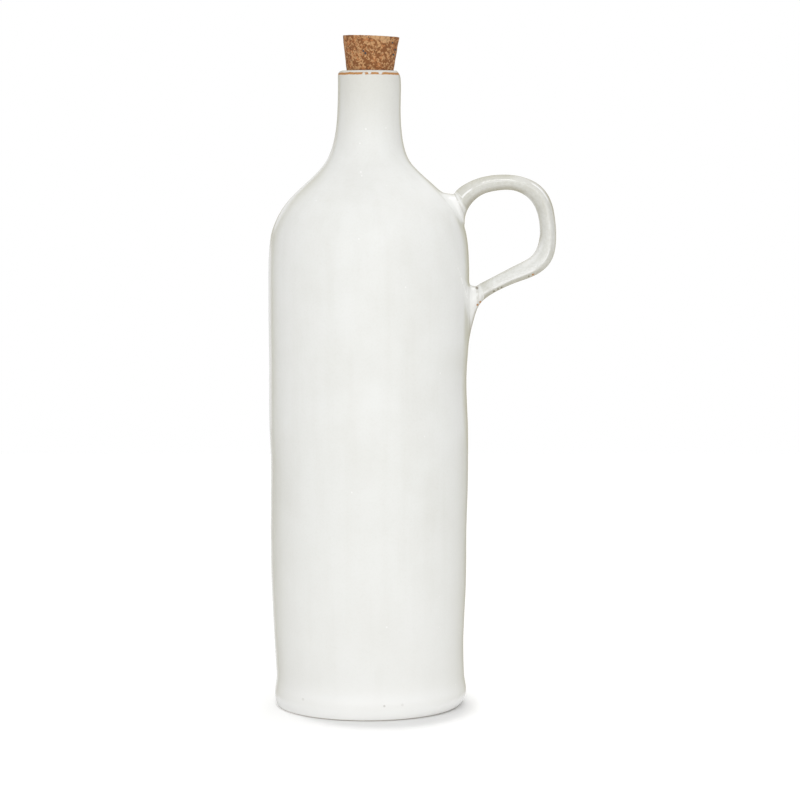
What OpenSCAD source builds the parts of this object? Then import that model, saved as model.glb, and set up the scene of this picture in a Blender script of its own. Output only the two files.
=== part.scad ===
// Stoneware oil bottle with a pulled loop handle and a tapered cork stopper.
// Millimetres, +Z up. The table is z = 0, the axis of the bottle is the Z axis,
// and the handle stands out towards +X.

/* [Body] */
// Height of the bottle, from the table to the top of the lip
bottle_h = 217.7; // [205:0.1:235]
// Largest diameter of the body, at the shoulder line
body_d = 69; // [62:0.5:78]
// How far the wall draws in from the shoulder line down to the waist
waist_in = 1.5; // [0.6:0.1:3]
// Height of the waist above the table
waist_h = 11; // [8:0.5:16]
// How far the foot spreads out past the waist
foot_flare = 0.6; // [0.2:0.1:1.5]
// Rounding of the bottom edge
foot_round = 2.25; // [1.5:0.25:4.5]
// Thickness of the clay in the body
wall = 4; // [3:0.25:5]
// Thickness of the floor
floor_t = 5.5; // [4:0.25:8]
// Rounding inside, where the floor meets the wall
floor_round = 8; // [4:0.5:12]

/* [Shoulder and neck] */
// Length of the straight neck above the curve of the shoulder
neck_l = 16.7; // [12:0.1:22]
// Diameter of the mouth, where the stopper sits
mouth_d = 15.8; // [13:0.1:17]
// Thickness of the clay at the neck
neck_wall = 2.9; // [2.4:0.1:4]
// Radius of the curve where the body turns into the shoulder
shoulder_round = 29.5; // [24:0.5:34]
// Slope of the shoulder away from upright, in degrees
shoulder_slope = 54; // [48:1:58]
// Radius of the curve where the shoulder runs up into the neck
neck_round = 27.5; // [20:0.5:30]
// Rounding of the lip on its outside
lip_round_out = 1.5; // [0.8:0.1:2]
// Rounding of the lip on its inside
lip_round_in = 0.9; // [0.4:0.1:1.2]

/* [Handle] */
// How far the handle stands out past the body
handle_out = 29.8; // [25:0.1:38]
// How far the handle rises above the shoulder line
handle_rise = 27.8; // [24:0.2:32]
// Thickness of the strap where it lies level
strap_t = 5.4; // [4.5:0.1:7]
// How much thicker the strap is where it stands upright
side_extra_t = 1; // [0:0.1:1.5]
// Width of the strap
strap_w = 12; // [9:0.5:16]
// How far in from the widest part of the body the upper root lies
upper_root_in = 5.6; // [5:0.1:7]
// Height of the upper root above the shoulder line
upper_root_rise = 10; // [7:0.5:12]
// Lean of the strap where it rises out of its upper root, in degrees
root_lean = 9.5; // [4:0.5:16]
// How far below the crown the strap turns out of its upper root
bend_drop = 4.9; // [3:0.1:7]
// Slope of the crown on the side of the bottle, in degrees
crown_slope = 28; // [20:1:40]
// Lean of the outer side, in degrees
side_lean = 6.4; // [0:0.2:10]
// Slope of the lower arm, in degrees
arm_slope = 24.7; // [15:0.1:32]
// Height of the lower root, measured down from the shoulder line
lower_root_drop = 13.4; // [10:0.1:18]
// How far out from the wall the strap turns down into its tail
lower_root_out = 0.7; // [0.2:0.1:2]
// Radius of the curve where the strap turns out of its upper root
bend_round = 10; // [4:0.5:11]
// Radius of the curve from the slope of the crown to its level top
crown_round = 19; // [8:0.5:20]
// Radius of the upper outer corner
upper_round = 12.5; // [10:0.5:15]
// Radius of the lower outer corner
lower_round = 11; // [7:0.5:12]
// Radius of the curve where the lower arm turns down into its tail
tail_round = 9; // [5:0.5:12]
// Length over which the upper root narrows to the strap
root_l = 15; // [11:0.5:18]
// Extra thickness at the upper root, on the side of the neck
root_extra_t = 8; // [4:0.5:10]
// Extra width at the upper root
root_extra_w = 7; // [4:0.5:10]
// Length of the thumbed tail below the lower root
tail_l = 15.5; // [12:0.5:18]
// Extra width where the tail is pressed onto the wall
tail_extra_w = 4.5; // [2:0.5:8]
// How deep the end of the tail sinks into the wall
tail_sink = 1.2; // [0.8:0.1:2]
// Thickness of the strap at the end of its tail
tail_end_t = 0.9; // [0.5:0.1:1.5]
// Width of the strap at the end of its tail
tail_end_w = 3; // [2:0.5:6]

/* [Stopper] */
// Length of the cork
cork_l = 23.5; // [18:0.5:30]
// How much of the cork stands above the lip
cork_out = 12; // [8:0.5:14]
// Diameter of the cork at its top
cork_top_d = 19.5; // [18.6:0.1:21]
// Taper of the cork on each side, in degrees
cork_taper = 6.4; // [4:0.2:8]
// Bevel of the cork's edges
cork_bevel = 0.5; // [0.2:0.1:1]
// Lean of the cork towards the handle, as it was pushed in, in degrees
cork_lean = 2; // [0:0.5:3]
// How far the cork sits off the axis, towards the handle
cork_off = 0.3; // [0:0.1:0.5]
// Clearance between the squeezed cork and the clay
cork_gap = 0.05; // [0.02:0.01:0.1]

/* [Hidden] */
$fn = 96;

glaze_white = [0.92, 0.92, 0.89];
cork_brown = [0.70, 0.48, 0.30];

// Outer radii, and the heights at which the outline changes
body_r = body_d / 2;
waist_r = body_r - waist_in;
foot_r = waist_r + foot_flare;
mouth_r = mouth_d / 2;
neck_r = mouth_r + neck_wall;
neck_base = bottle_h - neck_l;
shoulder_end_r = body_r - shoulder_round * (1 - cos(shoulder_slope));
neck_curve_end_r = neck_r + neck_round * (1 - cos(shoulder_slope));
shoulder_line = neck_base
    - (neck_round + shoulder_round) * sin(shoulder_slope)
    - (shoulder_end_r - neck_curve_end_r) / tan(shoulder_slope);

// Radius of the long curve from the waist up to the shoulder line, and its lower end
belly_rise = shoulder_line - waist_h;
belly_round = (belly_rise * belly_rise + waist_in * waist_in) / (2 * waist_in);
belly_turn = asin(belly_rise / belly_round);

// Roundings that the clay's own thickness limits
lip_out = min(lip_round_out, 0.55 * neck_wall);
lip_in = min(lip_round_in, 0.4 * neck_wall);

// Steps along a small rounding, a large one and the belly
small_steps = 6;
large_steps = 12;
past = 1; // How far a cut runs past the surface that it opens

// Points on an arc about c, from angle a0 to angle a1
function arc(c, r, a0, a1, steps) =
    [for (i = [0:steps]) let (a = a0 + (a1 - a0) * i / steps) c + r * [cos(a), sin(a)]];

// Wall of the body from the waist to the neck, moved inwards by inset
function side_outline(inset, neck_turn) = concat(
    arc([body_r - belly_round, shoulder_line], belly_round - inset, -belly_turn, 0, large_steps),
    arc([body_r - shoulder_round, shoulder_line], shoulder_round - inset, 0, shoulder_slope, large_steps),
    arc([neck_r + neck_round, neck_base], neck_round + inset, 180 + shoulder_slope, 180 + neck_turn, large_steps)
);

// The outside of the bottle without its handle: solid, as if nothing were hollow
module outer_form() {
    rotate_extrude()
        polygon(concat(
            [[0, 0]],
            arc([foot_r - foot_round, foot_round], foot_round, -90, 0, small_steps),
            side_outline(0, 0),
            arc([neck_r - lip_out, bottle_h - lip_out], lip_out, 0, 90, small_steps),
            [[0, bottle_h]]
        ));
}

// The hollow for the oil, up to where its curve runs into the bore of the neck
module oil_space() {
    inner_r = waist_r - wall;
    bore_turn = acos((neck_r + neck_round - mouth_r) / (neck_round + wall));
    rotate_extrude()
        polygon(concat(
            [[0, floor_t]],
            arc([inner_r - floor_round, floor_t + floor_round], floor_round, -90, 0, small_steps),
            side_outline(wall, bore_turn),
            [[0, neck_base - (neck_round + wall) * sin(bore_turn)]]
        ));
}

// The straight bore of the neck, with its rounded inner lip
module mouth_bore(spread) {
    bore_base = neck_base - neck_round;
    translate([0, 0, bore_base])
        cylinder(r = mouth_r - spread, h = bottle_h - bore_base + past);
    rotate_extrude()
        polygon(concat(
            [[0, bottle_h - lip_in]],
            arc([mouth_r + lip_in, bottle_h - lip_in], lip_in + spread, 180, 90, small_steps),
            [[mouth_r + lip_in, bottle_h + past], [0, bottle_h + past]]
        ));
}

// Corners of the strap's middle line, as [x, z], from the upper root round to the end of the tail.
// The handle's outermost place lies on its rounded lower corner, so that corner stands further out.
strap_top = shoulder_line + handle_rise - strap_t / 2;
strap_side = body_r + handle_out - (strap_t + side_extra_t) / 2;
corner_past = lower_round * (tan(45 + (side_lean - arm_slope) / 2) * sin(side_lean) - 1 + cos(side_lean));
upper_root = [body_r - upper_root_in, shoulder_line + upper_root_rise];
bend_z = strap_top - bend_drop;
bend = [upper_root.x + (bend_z - upper_root.y) * tan(root_lean), bend_z];
crown = bend + bend_drop * [1 / tan(crown_slope), 1];
lower_root = [body_r + lower_root_out, shoulder_line - lower_root_drop];
lower_corner = lower_root + (strap_side + corner_past - lower_root.x) * [1, tan(arm_slope)];
upper_corner = [lower_corner.x - (strap_top - lower_corner.y) * tan(side_lean), strap_top];
tail_end = [body_r - tail_sink, lower_root.y - tail_l];

corners = [upper_root, bend, crown, upper_corner, lower_corner, lower_root, tail_end];
rounds = [0, bend_round, crown_round, upper_round, lower_round, tail_round, 0];
last = len(corners) - 1;

// Direction of the side after corner i, and the turn made at corner i, in degrees
function heading(i) = atan2(corners[i + 1].y - corners[i].y, corners[i + 1].x - corners[i].x);
function turn(i) = let (t = heading(i) - heading(i - 1)) t > 180 ? t - 360 : t < -180 ? t + 360 : t;

// How much of each side the rounding of corner i takes up, and the length of the side after
// corner i as a share of what the roundings at its two ends take up together
function reach(i) = i == 0 || i == last ? 0 : rounds[i] * tan(abs(turn(i)) / 2);
function room(i) = norm(corners[i + 1] - corners[i]) / (reach(i) + reach(i + 1));

// The rounding of corner i, as [x, z, heading] stations. It shrinks where its sides are too short.
function rounding(i, steps) =
    let (
        from = heading(i - 1),
        side = sign(turn(i)),
        r = rounds[i] * min(1, room(i - 1), room(i)),
        start = corners[i] - r * tan(abs(turn(i)) / 2) * [cos(from), sin(from)]
    )
    [for (k = [0:steps]) let (h = from + turn(i) * k / steps)
        [start.x + side * r * (sin(h) - sin(from)), start.y - side * r * (cos(h) - cos(from)), h]];

into_tail = rounding(last - 1, 6);
tail_start = [into_tail[6].x, into_tail[6].y];
strap_path = concat(
    [[upper_root.x, upper_root.y, heading(0)]],
    rounding(1, 6),
    rounding(2, 6),
    rounding(3, 10),
    rounding(4, 8),
    into_tail,
    [for (k = [1:6]) let (p = tail_start + (tail_end - tail_start) * k / 6) [p.x, p.y, heading(last - 1)]]
);

// Distance along the path to station i
function travel(i) = i == 0 ? 0 : travel(i - 1)
    + norm([strap_path[i].x, strap_path[i].y] - [strap_path[i - 1].x, strap_path[i - 1].y]);
strap_length = travel(len(strap_path) - 1);

// How much of the root's spread is left at distance s, and how far into the tail s lies
function root_share(s) = pow(max(0, 1 - s / root_l), 2);
function tail_share(s) = max(0, 1 - (strap_length - s) / tail_l);

// Thickness and width of the strap at distance s, where it runs in direction h, without the root's
// extra thickness, which is all on one side
function strap_thick(s, h) = let (tail = tail_share(s))
    (strap_t + side_extra_t * abs(sin(h))) * (1 - tail) + tail_end_t * tail;
function strap_wide(s) = let (tail = tail_share(s))
    norm([(strap_w + tail_extra_w * sin(180 * tail)) * sqrt(1 - tail * tail), tail_end_w * tail])
        + root_extra_w * root_share(s);

// The pulled strap: an oval section swept along the path
module handle() {
    sides = 20;
    stations = len(strap_path);
    points = [for (i = [0:stations - 1])
        let (
            p = strap_path[i],
            s = travel(i),
            lift = root_extra_t * root_share(s) / 2,
            t = strap_thick(s, p.z) / 2 + lift,
            w = strap_wide(s) / 2
        )
        for (k = [0:sides - 1])
            let (a = 360 * k / sides, u = lift + t * cos(a))
            [p.x - u * sin(p.z), w * sin(a), p.y + u * cos(p.z)]];
    walls = [for (i = [0:stations - 2]) for (k = [0:sides - 1])
        let (a = i * sides + k, b = i * sides + (k + 1) % sides)
        [a, b, b + sides, a + sides]];
    first_cap = [for (k = [sides - 1:-1:0]) k];
    last_cap = [for (k = [0:sides - 1]) (stations - 1) * sides + k];
    polyhedron(points, concat([first_cap], walls, [last_cap]));
}

// Thrown body, neck and handle, fired together as one piece of glazed stoneware
module bottle() {
    color(glaze_white)
        difference() {
            union() {
                outer_form();
                handle();
            }
            oil_space();
            mouth_bore(0);
        }
}

// The cork as it is cut, before the neck squeezes it
module cut_cork() {
    top_r = cork_top_d / 2;
    end_r = top_r - cork_l * tan(cork_taper);
    rotate_extrude()
        polygon([
            [0, 0],
            [end_r - cork_bevel, 0],
            [end_r, cork_bevel],
            [top_r, cork_l - cork_bevel],
            [top_r - cork_bevel, cork_l],
            [0, cork_l]
        ]);
}

// The cork in the mouth: it leans about the middle of the length that the neck holds and squeezes
module cork_stopper() {
    held_l = cork_l - cork_out;
    color(cork_brown)
        intersection() {
            translate([cork_off, 0, bottle_h - held_l / 2])
                rotate([0, cork_lean, 0])
                    translate([0, 0, -held_l / 2])
                        cut_cork();
            union() {
                mouth_bore(cork_gap);
                translate([0, 0, bottle_h + cork_gap])
                    cylinder(r = cork_top_d, h = cork_l);
            }
        }
}

bottle();
cork_stopper();
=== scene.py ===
import math
from collections import namedtuple

import bmesh
import bpy
from bpy.props import FloatProperty, FloatVectorProperty, IntProperty, PointerProperty
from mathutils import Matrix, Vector


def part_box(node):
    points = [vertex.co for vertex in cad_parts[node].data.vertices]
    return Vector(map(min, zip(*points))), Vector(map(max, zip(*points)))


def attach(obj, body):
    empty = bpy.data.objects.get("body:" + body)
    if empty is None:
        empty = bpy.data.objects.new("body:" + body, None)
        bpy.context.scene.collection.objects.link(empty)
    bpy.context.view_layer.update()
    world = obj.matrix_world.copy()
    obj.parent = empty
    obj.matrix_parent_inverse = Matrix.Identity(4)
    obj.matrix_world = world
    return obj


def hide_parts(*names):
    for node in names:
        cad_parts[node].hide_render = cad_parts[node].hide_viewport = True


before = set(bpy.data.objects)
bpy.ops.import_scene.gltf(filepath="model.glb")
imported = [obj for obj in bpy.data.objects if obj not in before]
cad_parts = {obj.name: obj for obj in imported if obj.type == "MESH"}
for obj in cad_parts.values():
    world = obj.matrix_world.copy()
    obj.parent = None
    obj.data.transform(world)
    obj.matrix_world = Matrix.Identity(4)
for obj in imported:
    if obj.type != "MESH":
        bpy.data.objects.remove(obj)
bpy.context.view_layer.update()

bl_info = {
    "name": "Oil Bottle",
    "version": (1, 0, 0),
    "blender": (4, 5, 0),
    "location": "3D View > Sidebar > Oil Bottle",
    "description": "Models and glazes a thrown stoneware oil bottle with its cork stopper",
    "category": "Add Mesh",
}

MM = 0.001

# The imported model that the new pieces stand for: the height of its lip, and its cork's corners
LIP_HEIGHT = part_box("bottle")[1][2]
CORK_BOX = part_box("cork_stopper")

# Rings of the outside, from the table to the lip: height, radius and shift towards the handle,
# in millimetres. The shifts and small changes of radius are the potter's.
OUTSIDE_RINGS = (
    (0.00, 31.25, -0.45),
    (0.20, 31.70, -0.40),
    (0.95, 32.20, 0.00),
    (2.30, 32.85, 0.28),
    (3.90, 33.19, 0.46),
    (5.70, 33.15, 0.54),
    (7.70, 32.75, 0.50),
    (10.3, 32.44, 0.42),
    (15.0, 32.55, 0.22),
    (22.0, 32.68, -0.10),
    (30.0, 33.07, -0.12),
    (38.0, 33.50, -0.08),
    (46.0, 33.76, -0.08),
    (54.0, 33.83, -0.15),
    (62.0, 33.83, -0.15),
    (70.0, 33.93, 0.05),
    (78.0, 34.00, 0.22),
    (86.0, 33.94, 0.25),
    (94.0, 34.20, 0.02),
    (101.0, 34.18, -0.20),
    (108.0, 33.97, -0.38),
    (115.0, 33.92, -0.37),
    (121.0, 34.15, -0.16),
    (126.2, 34.38, 0.00),
    (131.4, 34.42, 0.00),
    (136.6, 34.44, 0.00),
    (141.8, 34.45, 0.00),
    (147.0, 34.45, 0.00),
    (152.3, 34.42, 0.00),
    (156.8, 34.20, 0.00),
    (160.3, 33.84, 0.00),
    (163.5, 33.26, 0.00),
    (167.3, 31.90, 0.12),
    (171.1, 29.80, 0.00),
    (174.9, 26.80, 0.04),
    (178.7, 22.84, 0.06),
    (181.7, 19.44, 0.02),
    (184.5, 16.46, -0.12),
    (187.3, 14.14, -0.32),
    (190.3, 12.80, -0.20),
    (193.8, 11.80, -0.10),
    (197.8, 11.18, 0.02),
    (202.0, 10.80, 0.08),
    (207.0, 10.70, 0.18),
    (211.5, 10.74, 0.32),
    (214.6, 10.70, 0.28),
    (216.0, 10.66, 0.20),
    (216.9, 10.46, 0.04),
    (217.7, 10.00, -0.08),
    (218.1, 9.45, 0.00),
)
# Rings of the inside, from the lip down to the floor: height and radius
INSIDE_RINGS = (
    (217.95, 8.85),
    (217.45, 8.30),
    (216.55, 7.98),
    (215.0, 7.90),
    (210.0, 7.90),
    (204.0, 7.90),
    (198.0, 7.92),
    (193.5, 8.15),
    (190.0, 8.95),
    (186.8, 10.40),
    (183.5, 12.60),
    (180.0, 15.20),
    (176.0, 19.30),
    (172.0, 23.60),
    (168.0, 26.60),
    (163.0, 29.00),
    (157.0, 30.20),
    (148.0, 30.50),
    (130.0, 30.45),
    (110.0, 30.25),
    (90.0, 30.05),
    (70.0, 29.85),
    (50.0, 29.60),
    (32.0, 29.35),
    (18.0, 29.10),
    (12.0, 28.60),
    (8.2, 26.90),
    (6.2, 23.60),
    (5.6, 18.00),
    (5.5, 9.00),
)
# Rings under the foot, from the middle of the hollow out to where it stands
UNDERSIDE_RINGS = (
    (0.70, 27.60),
    (0.45, 28.90),
    (0.08, 29.60),
)

# The strap from its upper root round to its lower root: middle of the section, the direction
# in which it runs (degrees above level), thickness and width
STRAP_SECTIONS = (
    (31.75, 174.55, 35.0, 7.40, 13.2),
    (34.60, 177.10, 28.0, 6.50, 12.3),
    (38.00, 179.05, 18.0, 5.80, 12.0),
    (42.20, 180.00, 8.0, 5.60, 12.0),
    (46.80, 180.40, -1.0, 5.25, 12.1),
    (50.30, 180.05, -11.0, 5.25, 12.2),
    (53.60, 179.00, -23.0, 5.60, 12.2),
    (56.45, 177.27, -35.0, 6.05, 12.1),
    (58.64, 174.83, -49.0, 6.18, 12.0),
    (60.18, 171.74, -63.0, 6.02, 11.9),
    (60.95, 168.20, -75.0, 5.70, 11.8),
    (61.40, 164.20, -86.0, 5.60, 11.8),
    (61.35, 160.50, -94.0, 5.85, 11.8),
    (60.75, 157.15, -103.0, 6.45, 11.9),
    (59.55, 154.25, -117.0, 6.80, 12.0),
    (57.30, 152.00, -134.0, 6.60, 12.0),
    (54.16, 150.25, -147.0, 6.35, 12.0),
    (50.43, 148.88, -152.0, 5.70, 12.0),
    (46.40, 146.98, -153.5, 5.18, 11.9),
    (42.40, 145.00, -155.0, 5.02, 11.9),
    (38.75, 142.95, -160.0, 5.40, 12.4),
)
# Half of the strap's section, from the middle of its outer face round the ridge that faces the
# camera to the middle of its inner face: shares of half its thickness outwards and of half its width
STRAP_PROFILE = (
    (1.00, 0.00),
    (0.90, 0.24),
    (0.73, 0.49),
    (0.53, 0.74),
    (0.34, 0.94),
    (0.16, 1.00),
    (-0.08, 0.97),
    (-0.44, 0.81),
    (-0.76, 0.55),
    (-0.96, 0.28),
    (-1.02, 0.00),
)
STRAP_SIDES = 20
# Where the glaze is: how far outwards on the strap, how far along it, and whether it lies on the
# strap (1), on the clay luted round its ends (a half) or on the body (0)
ON_WALL = (0.0, 0.0, 0.0)
ON_LUTE = (0.0, 0.0, 0.5)
IN_CREASE = (-2.0, 0.0, 0.5)
# The openings in the wall for the two roots: how many segments of the body and which rings
# they take up, their loops from the wall outwards, and the heights between which the strap is
# bridged to them. A loop is its top and its lowest point (x, height), its width, how much
# narrower its lower end is, and what it lies on.
ROOT_SEGMENTS = 6
UPPER_ROOT = {
    "rings": (163.5, 178.7),
    "loops": (
        ((26.60, 176.60), (33.00, 165.20), 15.2, 0.00, ON_WALL),
        ((27.90, 176.40), (32.90, 166.10), 14.2, 0.00, ON_LUTE),
        ((28.65, 176.25), (32.90, 167.20), 13.5, 0.00, ON_LUTE),
        ((29.15, 176.20), (32.85, 168.10), 12.4, 0.00, IN_CREASE),
    ),
    "bridge": (155.0, 200.0),
}
LOWER_ROOT = {
    "rings": (126.2, 147.0),
    "loops": (
        ((34.45, 145.80), (34.35, 124.90), 17.2, 0.80, ON_WALL),
        ((34.95, 145.00), (34.75, 128.50), 15.2, 0.72, ON_LUTE),
        ((35.90, 144.95), (36.35, 134.50), 13.6, 0.50, ON_LUTE),
        ((36.65, 144.60), (37.40, 137.80), 11.3, 0.20, IN_CREASE),
    ),
    "bridge": (100.0, 155.0),
}
# Painted highlights along the strap's ridge, in the white of pooled glaze: start and end as shares
# of its length, how much, how far outwards on the strap its line lies and half the line's width
PAINTED_HIGHLIGHT_RUNS = (
    (0.00, 0.05, 1.0, 0.20, 0.12),
    (0.10, 0.24, 0.35, 0.20, 0.07),
    (0.33, 0.42, 1.0, 0.64, 0.12),
    (0.65, 0.72, 0.9, 0.25, 0.08),
    (0.78, 0.95, 1.0, 0.27, 0.14),
    (0.98, 1.00, 0.7, 0.20, 0.10),
)
# Patches of painted shade on the strap: under its top, on the outside of its arm and round its
# bend. How far along a patch starts and stops, how far outwards it begins, and how dark it is.
PAINTED_SHADE_PATCHES = (
    ((-2.0, -1.0), (0.27, 0.44), (-0.30, -0.85), 0.65),
    ((0.68, 0.78), (2.0, 3.0), (0.38, 0.56), 0.5),
    ((0.27, 0.36), (0.43, 0.52), (0.30, -0.10), 0.1),
    ((0.26, 0.32), (0.45, 0.52), (0.70, 0.88), 0.6),
)
# Painted light on the inside of the strap's lower corner, in the white of pooled glaze
PAINTED_LIGHT_CORNER_PATCH = ((0.58, 0.64), (0.76, 0.84), (-0.35, -0.70), 0.8)
# Small marks on the camera's side: x, height and radius, and for a speck how dark it is
BARE_SPOTS = (
    (38.15, 139.40, 0.55),
    (37.15, 138.50, 0.50),
    (56.10, 148.80, 0.50),
)
SPECKS = (
    (36.95, 144.20, 0.60, 0.8),
    (54.70, 148.20, 0.45, 0.7),
    (45.40, 144.40, 0.42, 0.8),
    (44.20, 143.85, 0.38, 0.8),
    (42.80, 143.10, 0.48, 0.8),
    (-9.80, 217.00, 0.50, 0.6),
    (10.20, 216.85, 0.50, 0.5),
    (-22.10, 6.00, 0.60, 0.14),
    (5.45, 5.40, 0.50, 0.30),
    (11.50, 5.50, 0.60, 0.12),
)
# How far in front of the middle of the bottle the specks start
SPECK_FRONT = 1.6
# Painted glints of the light on the neck and shoulder, near the middle of the front: x, height and
# radius
PAINTED_GLINTS = (
    (-0.80, 198.20, 0.40),
    (-2.80, 193.40, 0.35),
    (-2.45, 183.80, 0.45),
    (-2.10, 182.60, 0.35),
    (-2.90, 161.90, 0.35),
)
# Blobs of glaze that run over the bare line at the lip: x, height and radius
LIP_BLOBS = (
    (-1.50, 216.70, 0.65),
    (0.45, 217.20, 0.75),
    (4.10, 217.20, 0.85),
)
# Large pale granules in the cork, with their half width and half height, and its deeper pits
PALE_GRANULES = (
    (3.00, 229.50, 1.30, 0.90),
    (6.00, 228.70, 1.80, 1.25),
)
# The pits are darkened with painted shade
CORK_PITS = (
    (-1.64, 224.40, 0.45),
    (-0.93, 223.65, 0.50),
    (8.50, 223.30, 0.45),
    (8.16, 227.25, 0.35),
    (9.10, 225.00, 0.40),
)
# A pale streak beside the handle: its ends (x, height) and its width
PALE_STREAK = ((30.30, 151.60), (33.60, 141.00), 0.55)
# Heights over which the bare line at the lip begins and ends, and how much it wavers
LIP_LINE_LOW = (216.65, 216.85)
LIP_LINE_HIGH = (217.45, 217.60)
LIP_LINE_WAVER = 0.45
# How many granules of the cork there are in a millimetre, and how its long flakes lean (in
# radians), each with a shift that keeps the two sets apart
GRANULE_SCALE = 0.62
FLAKE_LEANS = ((0.8, 0.0), (-0.7, 40.0))

# Colours that lie on the glaze or show through it
# White of thick, pooled glaze. It also paints light: highlights along the strap's ridge, glints on the
# shoulder, lit patches inside the strap's corner and on the shoulder by the upper root, and the lighter
# lower body and foot
POOLED_GLAZE_AND_PAINTED_LIGHT = (0.93, 0.93, 0.92, 1.0)
# Grey of the painted shade on the strap's underside, outer faces and edges, and on the side of the tail
# turned away from the light
PAINTED_SHADE_GREY = (0.50, 0.475, 0.41, 1.0)
# Brown of the thin glaze at the foot's lowest edge, which also paints the dark contact line where the
# foot meets the table
THIN_FOOT_AND_CONTACT_SHADE = (0.52, 0.42, 0.28, 1.0)
# Grey of the painted shade in the creases where the strap meets its luted roots
CREASE_SHADE = (0.44, 0.42, 0.36, 1.0)
SPECK_BROWN = (0.20, 0.17, 0.13, 1.0)
DARK_CLAY = (0.38, 0.17, 0.07, 1.0)
# Colours of the cork's granules, and of the painted shade in its gaps and its pits
CORK_DARK = (0.235, 0.092, 0.033, 1.0)
CORK_LIGHT = (0.53, 0.285, 0.13, 1.0)
CORK_CHIP = (0.55, 0.31, 0.15, 1.0)
CORK_GAP = (0.16, 0.07, 0.03, 1.0)
CORK_PIT = (0.06, 0.065, 0.07, 1.0)

# The cork's lower end, the height about which it leans, how far from the axis it is there, its
# top, the radius that the neck squeezes it to and the share of it left at its lower edge
CORK_BOTTOM = 205.95 * MM
CORK_PIVOT = 211.95 * MM
CORK_SHIFT = 0.30 * MM
CORK_TOP = 229.70 * MM
SQUEEZED_RADIUS = 7.80 * MM
LOWER_EDGE_SHARE = 0.93

# The table's white, the duller white of its painted contact shadow, and how much the camera sees
# the open table lifted
TABLE_WHITE = 0.94
SHADOW_WHITE = 0.855
TABLE_LIFT = 0.17
# Middle of the bottle's painted contact shadow on the table, with its depth counted at four
# fifths, and where it starts and stops fading
SHADOW_DEPTH_SHARE = 0.8
SHADOW_MIDDLE = (4.5, -3.5, 0.0)
SHADOW_EDGE = (27.0, 36.0)
# What the glaze mirrors: the table away from the bottle, and the sides of the room
MIRRORED_TABLE = (0.30, 0.275, 0.15, 1.0)
DIM_ROOM = (0.28, 0.245, 0.08, 1.0)
CAMERA_PLACE = (0.0107, -0.950, 0.190)
CAMERA_TILT = math.radians(84.92)
CAMERA_LENS = 124.81

# Where the glaze lies on the strap: how far outwards, how far along, what it lies on, and the
# shares of being on the strap at all and of being on its lower arm
StrapShares = namedtuple("StrapShares", "outward along on on_strap arm")


def scaled(places):
    """The rings in metres."""
    return [tuple(size * MM for size in place) for place in places]


class BodySettings(bpy.types.PropertyGroup):
    """Sizes of the thrown body."""

    segments: IntProperty(
        name="Segments",
        description="Faces round the body before it is smoothed",
        default=64,
        min=32,
        max=96,
    )
    smoothing: IntProperty(
        name="Smoothing",
        description="How often the faces of the bottle are split and smoothed",
        default=2,
        min=1,
        max=2,
    )
    unevenness: FloatProperty(
        name="Unevenness",
        description="How far the hand-thrown wall swells and dips",
        default=0.12 * MM,
        min=0.0,
        max=0.3 * MM,
        unit="LENGTH",
        precision=5,
    )


class CorkSettings(bpy.types.PropertyGroup):
    """Sizes of the cork stopper."""

    lean: FloatProperty(
        name="Lean",
        description="Lean of the cork towards the handle",
        default=math.radians(2.0),
        subtype="ANGLE",
    )
    top_radius: FloatProperty(
        name="Top radius",
        description="Radius of the cork at its top",
        default=9.75 * MM,
        unit="LENGTH",
        precision=5,
    )
    taper: FloatProperty(
        name="Taper",
        description="Taper of the cork on each side",
        default=math.radians(8.0),
        subtype="ANGLE",
    )
    relief: FloatProperty(
        name="Relief",
        description="Depth of the gaps between the granules",
        default=0.16 * MM,
        unit="LENGTH",
        precision=5,
    )


class ColourSettings(bpy.types.PropertyGroup):
    """Colours of the finishes."""

    glaze: FloatVectorProperty(
        name="Glaze",
        description="Off-white of the glaze where it is thick",
        default=(0.85, 0.857, 0.842),
        subtype="COLOR",
        min=0.0,
        max=1.0,
    )
    # On the strap this grey also paints shade, as well as thin glaze
    thin_glaze_and_shade: FloatVectorProperty(
        name="Thin glaze",
        description="Warmer grey of the glaze where it ran thin",
        default=(0.68, 0.675, 0.625),
        subtype="COLOR",
        min=0.0,
        max=1.0,
    )
    clay: FloatVectorProperty(
        name="Clay",
        description="Fired clay where no glaze covers it",
        default=(0.60, 0.30, 0.10),
        subtype="COLOR",
        min=0.0,
        max=1.0,
    )
    cork: FloatVectorProperty(
        name="Cork",
        description="Middle brown of the cork granules",
        default=(0.45, 0.183, 0.071),
        subtype="COLOR",
        min=0.0,
        max=1.0,
    )


def make_active(piece):
    """Selects the piece alone and makes it the active one."""
    bpy.ops.object.select_all(action="DESELECT")
    piece.select_set(True)
    bpy.context.view_layer.objects.active = piece


def open_mesh(name):
    """An empty mesh object at the origin, open in edit mode with nothing selected."""
    piece = bpy.data.objects.new(name, bpy.data.meshes.new(name))
    bpy.context.scene.collection.objects.link(piece)
    make_active(piece)
    bpy.ops.object.mode_set(mode="EDIT")
    bpy.ops.mesh.select_mode(type="VERT")
    return piece


def select_parts(piece, kind, wanted):
    """Selects the vertices, edges or faces for which wanted(part) is true."""
    bpy.ops.mesh.select_mode(type=kind)
    bpy.ops.mesh.select_all(action="DESELECT")
    mesh = bmesh.from_edit_mesh(piece.data)
    for part in {"VERT": mesh.verts, "EDGE": mesh.edges, "FACE": mesh.faces}[kind]:
        if wanted(part):
            part.select_set(True)
    if kind == "VERT":
        mesh.select_flush(True)
    bmesh.update_edit_mesh(piece.data)


def draw_ring(step, growth, centre):
    """Extrudes the selected ring by step and scales it about its new centre."""
    bpy.ops.mesh.extrude_region_move(TRANSFORM_OT_translate={"value": step})
    bpy.ops.transform.resize(value=growth, center_override=centre)


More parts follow.
